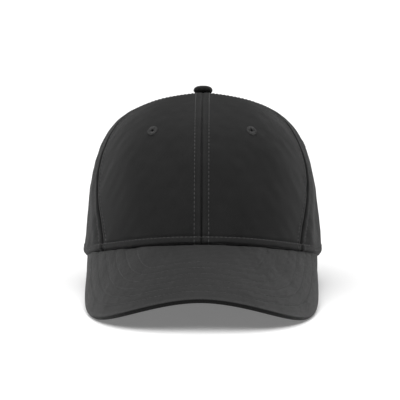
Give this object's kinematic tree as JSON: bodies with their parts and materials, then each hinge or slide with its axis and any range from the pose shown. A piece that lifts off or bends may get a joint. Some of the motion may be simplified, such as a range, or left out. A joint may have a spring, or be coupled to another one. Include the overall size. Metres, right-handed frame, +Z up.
{
  "type": "baseball cap",
  "caption": "Structured black cotton baseball cap with a curved visor, covered button, stitched eyelets and a back strap with a metal clamp buckle.",
  "frame": {"origin": "centre of the bounding box at its bottom, the surface the cap rests on with its two visor corners and the two feet of the back opening", "axes": "+Z up, -Y towards the visor's front, +X to the wearer's left; the cap stands as it does when put down, its head opening tilted 12.2 degrees with the front raised"},
  "size_m": [0.1782, 0.2756, 0.1476],
  "materials": {
    "cotton_twill": "matte twill",
    "buckram": "open stiffened mesh",
    "seam_tape": "plain woven tape",
    "sweatband_cloth": "brushed cotton",
    "label_satin": "satin, blank",
    "visor_board": "matte",
    "strap_cloth": "matte twill",
    "buckle_metal": "antique nickel",
    "button_metal": "tinned",
    "eyelet_thread": "rayon thread, slight sheen"
  },
  "bodies": {
    "cap": {"front_panel_left": "cotton_twill", "front_panel_right": "cotton_twill", "side_panel_left": "cotton_twill", "side_panel_right": "cotton_twill", "back_panel_left": "cotton_twill", "back_panel_right": "cotton_twill", "buckram_left": "buckram", "buckram_right": "buckram", "seam_tape_centre_front": "seam_tape", "seam_tape_centre_back": "seam_tape", "seam_tape_front_left": "seam_tape", "seam_tape_front_right": "seam_tape", "seam_tape_back_left": "seam_tape", "seam_tape_back_right": "seam_tape", "sweatband": "sweatband_cloth", "care_label": "label_satin", "arch_binding": "cotton_twill", "visor_top_cover": "cotton_twill", "visor_under_cover": "cotton_twill", "button_cover": "cotton_twill", "visor_board": "visor_board", "buckle_loop": "strap_cloth", "buckle_frame": "buckle_metal", "buckle_pin": "buckle_metal", "button_core": "button_metal", "button_rivet": "button_metal", "eyelet_front_left": "eyelet_thread", "eyelet_front_right": "eyelet_thread", "eyelet_side_left": "eyelet_thread", "eyelet_side_right": "eyelet_thread", "eyelet_back_left": "eyelet_thread", "eyelet_back_right": "eyelet_thread"},
    "strap": {"strap": "strap_cloth"},
    "lever": {"buckle_lever": "buckle_metal"}
  },
  "joints": [
    {"name": "strap_slide", "type": "hinge", "parent": "cap", "child": "strap", "pos_m": [0, 0.0535, 0.02913], "axis": [0, 0.2115, 0.9774], "range_deg": [-14, 14]},
    {"name": "lever_pivot", "type": "hinge", "parent": "cap", "child": "lever", "pos_m": [0.00606, 0.1342, 0.01166], "axis": [0, 0.2115, 0.9774], "range_deg": [0, 100]}
  ]
}
